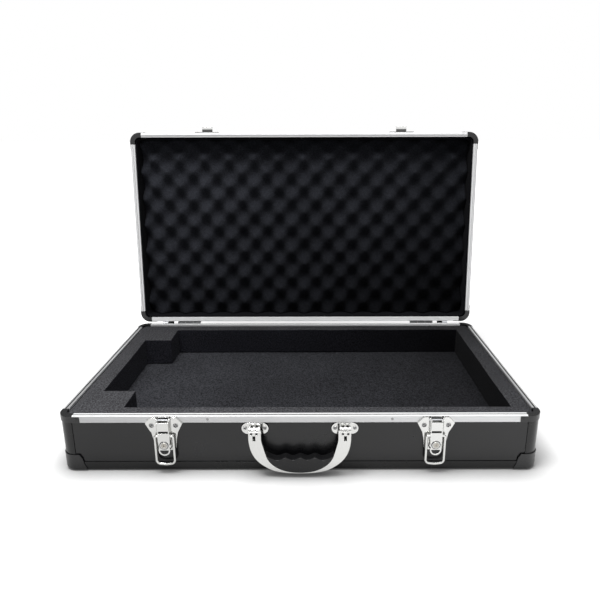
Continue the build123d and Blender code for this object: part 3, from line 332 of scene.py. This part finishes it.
# A lighter copy for the lid's back rail: painted light.
RAIL_LID_BACK_LIT = aluminium("lid_rail_at_hinges_painted_light", 0, 0.1, 0.97)
RAIL_LID_Y = aluminium("lid_rail_along_y", 1, 0.4, 0.78, OPEN)
# A near-black copy for the rail grooves: painted shade.
RAIL_GROOVE_SHADE = aluminium("rail_groove_painted_shade", 1, 0.3, 0.1)
PANEL = laminate("panel_laminate", (0.004, 0.004, 0.0047), 0.24, 0.42)
TRIM = laminate("edge_trim_black", (0.003, 0.003, 0.0032), 0.26, 0.36, 2600.0, 0.00003)
CORNER = moulded("corner_plastic", (0.005, 0.005, 0.0055), 0.3)
# The grip's strongly lightened edges are mostly a painted highlight.
GRIP = moulded("grip_rubber", (0.004, 0.004, 0.0045), 0.3, 0.32, 0.0008, 1100.0, 0.08)
FOOT = moulded("foot_rubber", (0.012, 0.012, 0.012), 0.7, 0.4, 0.0008, 500.0)
CHROME = plated("chrome_plate", (0.64, 0.64, 0.625), 0.13)
# The strike darkens towards its bottom: painted shade.
STRIKE = plated("strike_plate", (0.8, 0.8, 0.79), 0.16, 0.35, (472.5 * MM, 474.5 * MM))
# A dark finish used as painted shade on hinges, rivet heads and recesses.
SHADED = plated("painted_shade_steel", (0.06, 0.06, 0.062), 0.4)
STEEL = plated("zinc_steel", (0.55, 0.56, 0.58), 0.32)
RIVET = plated("rivet_steel", (0.3, 0.3, 0.3), 0.35, 0.2)
BRASS = plated("key_plug_plate", (0.42, 0.40, 0.36), 0.25, 0.2)
# Each foam brightens along a slope, painted light: the pocket foam towards the left and front, the pad and walls
# towards the left, the egg crate towards the top left.
POCKET_FOAM = foam("pocket_foam", (0.041, 0.0412, 0.0445), 950.0, 0.00035, (0.9, -0.6, -1.7, 0))
# A darker copy for the pocket's upright walls: painted shade.
POCKET_WALL_SHADE_FOAM = foam("pocket_wall_painted_shade_foam", (0.014, 0.0143, 0.0185), 950.0, 0.00035, (0.7, -1.6, 0, 0))
PAD_FOAM = foam("pad_foam", (0.029, 0.0298, 0.034), 820.0, 0.0004, (0.67, -1.1, 0, 0))
EGG_FOAM = foam(
    "egg_crate_foam", (0.0135, 0.0143, 0.0175), 1100.0, 0.0004, (0.13, -1.4, 0, 3.63), 0.01, 1.8, 0.3
)
LINING = foam(
    "lining_foam", (0.005, 0.0052, 0.0065), 1300.0, 0.0002, (1, 0, 0, 0), 0.01, 1.5, 0.2
)
BY_SLOT = {
    "panel": PANEL,
    "edge_trim": TRIM,
    "corner_plastic": CORNER,
    "rubber_foot": FOOT,
    "grip": GRIP,
    "chrome": CHROME,
    "plated_steel": STEEL,
    "rivet": RIVET,
    "lock_brass": BRASS,
    "pocket_foam": POCKET_FOAM,
    "lid_foam": EGG_FOAM,
}
for part in record["subparts"]:
    name = part["node"]
    if part["material_slot"] == "rail":
        across = "front" in name or "back" in name
        if name.startswith("lid"):
            finish = RAIL_LID_X if across else RAIL_LID_Y
        else:
            finish = RAIL_X if across else RAIL_Y
    else:
        finish = BY_SLOT[part["material_slot"]]
    mesh = nodes[name].data
    mesh.materials.clear()
    mesh.materials.append(finish)


def refinish(node, finish, chosen):
    """Gives the faces whose middle is chosen another finish."""
    mesh = nodes[node].data
    mesh.materials.append(finish)
    for face in mesh.polygons:
        if chosen(face.center, face.normal):
            face.material_index = len(mesh.materials) - 1


def near(point, centres, low, high):
    """True when a point's distance from one of the centres, seen from the front, is in a range."""
    return any(low < math.hypot(point.x - x, point.z - z) < high for x, z in centres)


nodes["lid_strikes"].data.materials[0] = STRIKE
nodes["lid_back_rail"].data.materials[0] = RAIL_LID_BACK_LIT

# The rivets through the black corner tabs are black too; the pair on each front rail is bare.
for name in ("tray_rail_rivets", "lid_rail_rivets"):
    refinish(name, CORNER, lambda at, way: abs(at.x) > 200 * MM)

# The hinges get painted shade where they face the inside of the case, standing in for their shadow in the gap
# between lid and tray.
for name in ("hinge_pins", "hinge_tray_leaves", "hinge_lid_leaves"):
    refinish(name, SHADED, lambda at, way: way.y < -0.3 or way.z > 0.5)

# The front rail's top gets a lighter copy of its finish, a painted highlight, and the grooves along the tray's
# rails get a near-black copy, painted shade.
_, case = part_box("tray_bottom_trim")
_, front_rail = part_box("tray_front_rail")
refinish("tray_front_rail", RAIL_RIM_HIGHLIGHT, lambda at, way: at.z > front_rail.z - 0.3 * MM)
for side in ("front", "back", "left", "right"):
    _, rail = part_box("tray_" + side + "_rail")
    across = side in ("front", "back")

    def in_groove(at, way):
        inset = case.y - abs(at.y) if across else case.x - abs(at.x)
        return 2.9 * MM < inset < 5.1 * MM and rail.z - 3 * MM < at.z < rail.z - 0.5 * MM

    refinish("tray_" + side + "_rail", RAIL_GROOVE_SHADE, in_groove)

# Painted shade in the recesses of the front hardware: rivet heads, cups and wells, the lock's
# surround, the sides and backs of the handle's pivot lugs, and spots on the arm under them.
LATCH_RIVETS = [(s * 190 * MM + t * 16.9 * MM, 74.4 * MM) for s in (-1, 1) for t in (-1, 1)]
BRACKET_RIVETS = [(s * 63 * MM + t * 14 * MM, 69 * MM) for s in (-1, 1) for t in (-1, 1)]
LOCKS = [(s * 190 * MM, 46 * MM) for s in (-1, 1)]
ARM_SHADOW_SPOTS = [(s * 63 * MM + t * 3.7 * MM, 68.4 * MM) for s in (-1, 1) for t in (-1, 1)]


def in_latch_well(at, way):
    return near(at, LATCH_RIVETS, 3.2 * MM, 3.7 * MM) and abs(way.y) < 0.5


def in_lock_well(at, way):
    return near(at, LOCKS, 4.3 * MM, 6.7 * MM) and at.y > -case.y - 8.6 * MM


def in_arm_shadow(at, way):
    return near(at, ARM_SHADOW_SPOTS, 0, 2.4 * MM) and 12.6 * MM < -case.y - at.y < 16.8 * MM


refinish("latch_rivets", SHADED, lambda at, way: near(at, LATCH_RIVETS, 0, 1.3 * MM))
refinish("handle_bracket_rivets", SHADED, lambda at, way: near(at, BRACKET_RIVETS, 0, 1.3 * MM))
refinish("handle_brackets", SHADED, lambda at, way: abs(way.x) > 0.9 and at.y < -case.y - 2 * MM)
refinish("latch_base_plates", SHADED, in_latch_well)
refinish("left_latch_lever", SHADED, in_lock_well)
refinish("right_latch_lever", SHADED, in_lock_well)
refinish("handle_frame", SHADED, in_arm_shadow)


# ------------------------------------------------------------------ mesh helpers
def add_mesh(name, points, faces, finish, body, smooth=True):
    mesh = bpy.data.meshes.new(name)
    mesh.from_pydata([tuple(p) for p in points], [], [tuple(f) for f in faces])
    mesh.materials.append(finish)
    mesh.validate()
    mesh.update()
    made = bpy.data.objects.new(name, mesh)
    bpy.context.scene.collection.objects.link(made)
    if smooth:
        mesh.polygons.foreach_set("use_smooth", [True] * len(mesh.polygons))
    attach(made, body)
    return made


def wobble(points, scale, seed):
    """Smooth repeatable noise in -1..1 for an array of points, from a few fixed waves."""
    waves = np.random.default_rng(seed)
    total = np.zeros(len(points))
    for _ in range(9):
        way = waves.normal(size=3)
        way /= np.linalg.norm(way)
        stretch, shift = waves.uniform(0.5, 1.6), waves.uniform(0, 6.28)
        total += np.sin(points @ way * (2 * math.pi / scale) * stretch + shift)
    return total / 4.5


def stops(marks, step):
    """Marks in order, with even steps added between them."""
    out = [marks[0]]
    for a, b in zip(marks, marks[1:]):
        count = max(1, round((b - a) / step))
        out += [a + (b - a) * (i + 1) / count for i in range(count)]
    return out


def cell_solid(xs, ys, zs, inside):
    """Closed quad mesh round the cells of a grid for which inside(x, y, z) is true."""
    nx, ny, nz = len(xs) - 1, len(ys) - 1, len(zs) - 1
    full = np.zeros((nx + 2, ny + 2, nz + 2), bool)
    for i in range(nx):
        for j in range(ny):
            for k in range(nz):
                middle = ((xs[i] + xs[i + 1]) / 2, (ys[j] + ys[j + 1]) / 2, (zs[k] + zs[k + 1]) / 2)
                full[i + 1, j + 1, k + 1] = inside(*middle)
    index, points, faces = {}, [], []

    def corner(i, j, k):
        key = (i, j, k)
        if key not in index:
            index[key] = len(points)
            points.append((xs[i], ys[j], zs[k]))
        return index[key]

    for i, j, k in np.argwhere(full):
        a, b, c = i - 1, j - 1, k - 1
        sides = (
            ((1, 0, 0), ((1, 0, 0), (1, 1, 0), (1, 1, 1), (1, 0, 1))),
            ((-1, 0, 0), ((0, 0, 0), (0, 0, 1), (0, 1, 1), (0, 1, 0))),
            ((0, 1, 0), ((0, 1, 0), (0, 1, 1), (1, 1, 1), (1, 1, 0))),
            ((0, -1, 0), ((0, 0, 0), (1, 0, 0), (1, 0, 1), (0, 0, 1))),
            ((0, 0, 1), ((0, 0, 1), (1, 0, 1), (1, 1, 1), (0, 1, 1))),
            ((0, 0, -1), ((0, 0, 0), (0, 1, 0), (1, 1, 0), (1, 0, 0))),
        )
        for (di, dj, dk), loop in sides:
            if not full[i + di, j + dj, k + dk]:
                faces.append([corner(a + x, b + y, c + z) for x, y, z in loop])
    return np.array(points), faces


def round_corners(points, half_x, half_y, radius):
    """Pulls the vertical corners of a rectangular block in to a radius."""
    cx, cy = half_x - radius, half_y - radius
    out = points.copy()
    over = (np.abs(points[:, 0]) > cx) & (np.abs(points[:, 1]) > cy)
    dx = np.abs(points[over, 0]) - cx
    dy = np.abs(points[over, 1]) - cy
    reach = np.maximum(dx, dy)
    length = np.maximum(np.hypot(dx, dy), 1e-9)
    out[over, 0] = np.sign(points[over, 0]) * (cx + dx / length * reach)
    out[over, 1] = np.sign(points[over, 1]) * (cy + dy / length * reach)
    return out


def soften(obj, width, segments, angle=50):
    made = obj.modifiers.new("soft_edges", "BEVEL")
    made.width = width
    made.segments = segments
    made.limit_method = "ANGLE"
    made.angle_limit = math.radians(angle)
    made.harden_normals = False


# ------------------------------------------------------------------ tray foam
low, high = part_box("foam_insert_frame")
pad_low, pad_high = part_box("foam_base_pad")
FOAM_R = 9.0 * MM
POCKET_X = (-256.0 * MM, 305.0 * MM)
POCKET_Y = (-158.0 * MM, 157.0 * MM)
NOTCH_X = -305.0 * MM
NOTCH_Y = (-106.0 * MM, 102.0 * MM)


def in_foam(x, y, z):
    in_pocket = POCKET_X[0] < x < POCKET_X[1] and POCKET_Y[0] < y < POCKET_Y[1]
    in_notch = NOTCH_X < x <= POCKET_X[0] and NOTCH_Y[0] < y < NOTCH_Y[1]
    return not (in_pocket or in_notch)


xs = stops([low.x, NOTCH_X, POCKET_X[0], POCKET_X[1], high.x], 9 * MM)
ys = stops([low.y, POCKET_Y[0], NOTCH_Y[0], NOTCH_Y[1], POCKET_Y[1], high.y], 9 * MM)
zs = stops([low.z + 0.0001, high.z], 9 * MM)
points, faces = cell_solid(xs, ys, zs, in_foam)
points = round_corners(points, high.x, high.y, FOAM_R)
wall = (np.abs(points[:, 0]) < high.x - 0.001) & (np.abs(points[:, 1]) < high.y - 0.001)
for axis, seed in ((0, 3), (1, 5)):
    points[wall, axis] += 0.00035 * wobble(points[wall], 0.11, seed)
top = points[:, 2] > high.z - 1e-6
points[top, 2] += -0.0003 + 0.0003 * wobble(points[top], 0.09, 11)
insert = add_mesh("foam_insert", points, faces, POCKET_FOAM, "tray", smooth=False)
# The insert's upright faces take the darker copy: painted shade on the pocket walls.
insert.data.materials.append(POCKET_WALL_SHADE_FOAM)
for face in insert.data.polygons:
    if abs(face.normal.z) < 0.5:
        face.material_index = 1
soften(insert, 0.0011, 2)
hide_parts("foam_insert_frame")

xs = stops([pad_low.x, NOTCH_X, POCKET_X[0], POCKET_X[1], pad_high.x], 12 * MM)
ys = stops([pad_low.y, POCKET_Y[0], POCKET_Y[1], pad_high.y], 12 * MM)
points, faces = cell_solid(xs, ys, [pad_low.z, pad_high.z - 0.0001], lambda x, y, z: True)
points = round_corners(points, pad_high.x, pad_high.y, FOAM_R)
top = points[:, 2] > pad_high.z - 0.001
points[top, 2] += -0.0006 + 0.0006 * wobble(points[top], 0.16, 21)
pad = add_mesh("foam_pad", points, faces, PAD_FOAM, "tray")
soften(pad, 0.001, 2)
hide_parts("foam_base_pad")

# ------------------------------------------------------------------ lid foam
egg_low, egg_high = closed_box("lid_egg_crate_foam")
PITCH_X = 50.0 * MM
PITCH_Y = 53.0 * MM
PIT_X = -277.0 * MM
PIT_Y = HINGE.y - 332.3 * MM
EGG_DEPTH = 18.0 * MM
STEP = 2.5 * MM


def egg_height(x, y):
    """Depth of the egg-crate face below its peaks, deepest at the pits."""
    across = np.cos(2 * math.pi * (x - PIT_X) / PITCH_X)
    along = np.cos(2 * math.pi * (y - PIT_Y) / PITCH_Y)
    return EGG_DEPTH * ((across * along + 1) / 2) ** 0.8


xs = np.array(stops([egg_low.x, egg_high.x], STEP))
ys = np.array(stops([egg_low.y, egg_high.y], STEP))
gx, gy = np.meshgrid(xs, ys, indexing="ij")
flat = np.stack([gx.ravel(), gy.ravel(), np.zeros(gx.size)], 1)
jig = 0.0012 * wobble(flat, 0.07, 31)
depth = egg_height(flat[:, 0] + jig, flat[:, 1] - jig) + 0.0004 * wobble(flat, 0.03, 33)
face_z = np.maximum(egg_low.z + 0.0006 + depth, egg_low.z)
face = np.stack([flat[:, 0], flat[:, 1], face_z], 1)
back = face.copy()
back[:, 2] = egg_high.z - 0.0002
count_x, count_y = len(xs), len(ys)
points = np.concatenate([face, back])
points = round_corners(points, egg_high.x, egg_high.y, 6 * MM)
half = count_x * count_y
faces = []
for i in range(count_x - 1):
    for j in range(count_y - 1):
        a, b = i * count_y + j, (i + 1) * count_y + j
        faces.append((a, a + 1, b + 1, b))
        faces.append((half + a, half + b, half + b + 1, half + a + 1))
ring = [i * count_y for i in range(count_x)]
ring += [(count_x - 1) * count_y + j for j in range(1, count_y)]
ring += [i * count_y + count_y - 1 for i in range(count_x - 2, -1, -1)]
ring += [j for j in range(count_y - 2, 0, -1)]
for a, b in zip(ring, ring[1:] + ring[:1]):
    faces.append((a, b, half + b, half + a))
world = [LEAN_BACK @ Vector(p) for p in points]
egg = add_mesh("egg_crate_foam", world, faces, EGG_FOAM, "lid")
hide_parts("lid_egg_crate_foam")

lining_low, lining_high = closed_box("lid_side_lining")
THICK = 2.5 * MM


def in_lining(x, y, z):
    return abs(x) > lining_high.x - THICK or abs(y) > lining_high.y - THICK


xs = stops([lining_low.x, lining_low.x + THICK, lining_high.x - THICK, lining_high.x], 8 * MM)
ys = stops([lining_low.y, lining_low.y + THICK, lining_high.y - THICK, lining_high.y], 8 * MM)
zs = stops([lining_low.z, lining_high.z], 8 * MM)
points, faces = cell_solid(xs, ys, zs, in_lining)
points = round_corners(points, lining_high.x, lining_high.y, FOAM_R)
world = [LEAN_BACK @ Vector(p) for p in points]
lining = add_mesh("lid_lining", world, faces, LINING, "lid", smooth=False)
soften(lining, 0.0007, 2)
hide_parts("lid_side_lining")

# ------------------------------------------------------------------ stage
SKY_TOP = 1.1
SKY_LOW = 0.1
SKY_SIDE = 0.35
FRONT_CARD = 1.0
FLOOR_GLOW = 0.06
FAR_GLOW = 1.0
BOUNCE = 0.3
CONTACT = 0.045
EAST = 0.2
# A white sweep: it fades to pure white away from the case, and gives little light back
# to the foam. Its colour carries a painted contact shadow round the case, and in reflections
# it is lighter to the right, a painted reflection.
floor_finish, tree, shader = new_material("floor")
speck = noise(tree, coords(tree), 60.0, 3.0)
tone = mixed(tree, speck, (0.84, 0.84, 0.84), (0.86, 0.86, 0.86))
ray = tree.nodes.new("ShaderNodeLightPath").outputs
# Painted contact shadow: ambient occlusion darkens the floor's colour near the case.
contact = tree.nodes.new("ShaderNodeAmbientOcclusion")
contact.inputs["Distance"].default_value = CONTACT
contact.samples = 12
# Painted reflection: for glossy rays the floor is lighter to the right and darker to the left.
east = ramp(tree, split(tree, coords(tree))["X"], -EAST, EAST, -0.34, 0.34)
lift = math_node(tree, "ADD", math_node(tree, "MULTIPLY", east, ray["Is Glossy Ray"]), 1.0)
lit = scaled(tree, tone, math_node(tree, "MULTIPLY", contact.outputs["AO"], lift))
base = mixed(tree, ray["Is Diffuse Ray"], lit, (BOUNCE, BOUNCE, BOUNCE))
tree.links.new(base, shader.inputs["Base Color"])
shader.inputs["Roughness"].default_value = 0.9
shader.inputs["Specular IOR Level"].default_value = 0.1
spread = tree.nodes.new("ShaderNodeVectorMath")
spread.operation = "LENGTH"
tree.links.new(coords(tree, (0.8, 1.0, 1.0)), spread.inputs[0])
glow = ramp(tree, spread.outputs["Value"], FLOOR_GLOW, FAR_GLOW, 0.33, 0.9)
direct = math_node(tree, "MAXIMUM", ray["Is Camera Ray"], ray["Is Glossy Ray"])
tree.links.new(tone, shader.inputs["Emission Color"])
tree.links.new(math_node(tree, "MULTIPLY", direct, glow), shader.inputs["Emission Strength"])
mesh = bpy.data.meshes.new("floor")
mesh.from_pydata([(-30, -30, 0), (30, -30, 0), (30, 30, 0), (-30, 30, 0)], [], [(0, 1, 2, 3)])
mesh.materials.append(floor_finish)
floor = bpy.data.objects.new("floor", mesh)
floor.location.z = cad_low.z - 0.0002
bpy.context.scene.collection.objects.link(floor)

world = bpy.data.worlds.new("studio")
bpy.context.scene.world = world
world.use_nodes = True
tree = world.node_tree
tree.nodes.clear()
out = tree.nodes.new("ShaderNodeOutputWorld")
backdrop = tree.nodes.new("ShaderNodeBackground")
backdrop.inputs["Color"].default_value = (1, 1, 1, 1)
parts = split(tree, tree.nodes.new("ShaderNodeTexCoord").outputs["Generated"])
# The studio is bright overhead and dim at eye level, a little brighter to the right. A white
# card in front of the case shows only in its metal.
high = math_node(tree, "POWER", math_node(tree, "MAXIMUM", parts["Z"], 0.0), 2.0)
sky = math_node(tree, "ADD", math_node(tree, "MULTIPLY", high, SKY_TOP), SKY_LOW)
side = math_node(tree, "ADD", math_node(tree, "MULTIPLY", parts["X"], SKY_SIDE), 1.0)
ray = tree.nodes.new("ShaderNodeLightPath").outputs
ahead = math_node(tree, "MAXIMUM", math_node(tree, "MULTIPLY", parts["Y"], -FRONT_CARD), 0.0)
card = math_node(tree, "MULTIPLY", ahead, ray["Is Glossy Ray"])
glow = math_node(tree, "ADD", math_node(tree, "MULTIPLY", sky, side), card)
shown = tree.nodes.new("ShaderNodeMix")
tree.links.new(ray["Is Camera Ray"], shown.inputs["Factor"])
tree.links.new(glow, shown.inputs[2])
shown.inputs[3].default_value = 1.0
tree.links.new(shown.outputs[0], backdrop.inputs["Strength"])
tree.links.new(backdrop.outputs[0], out.inputs[0])


def area_light(name, place, target, size, power):
    data = bpy.data.lights.new(name, "AREA")
    data.shape = "RECTANGLE"
    data.size, data.size_y = size
    data.energy = power
    made = bpy.data.objects.new(name, data)
    made.location = place
    made.rotation_euler = (Vector(target) - Vector(place)).to_track_quat("-Z", "Y").to_euler()
    bpy.context.scene.collection.objects.link(made)


area_light("key", (-0.4, -0.45, 1.55), (0, 0, 0.1), (0.7, 0.5), 17)
area_light("top", (0.1, 0.1, 2.3), (0, 0.05, 0.1), (1.2, 0.8), 14)

camera_data = bpy.data.cameras.new("camera")
camera = bpy.data.objects.new("camera", camera_data)
bpy.context.scene.collection.objects.link(camera)
camera_data.sensor_width = 36.0
camera_data.lens = 32.115
camera_data.shift_x = -0.02758
camera_data.shift_y = -0.02833
camera_data.clip_start = 0.05
camera_data.clip_end = 100.0
camera.location = (23.9 * MM, -857.3 * MM, 466.2 * MM)
pan, tilt, roll = (
    Matrix.Rotation(math.radians(degrees), 3, axis)
    for degrees, axis in ((0.02, "Z"), (90.0 - 15.657, "X"), (-0.135, "Z"))
)
camera.rotation_euler = (pan @ tilt @ roll).to_euler()
bpy.context.scene.camera = camera
bpy.context.scene.view_settings.view_transform = "Standard"
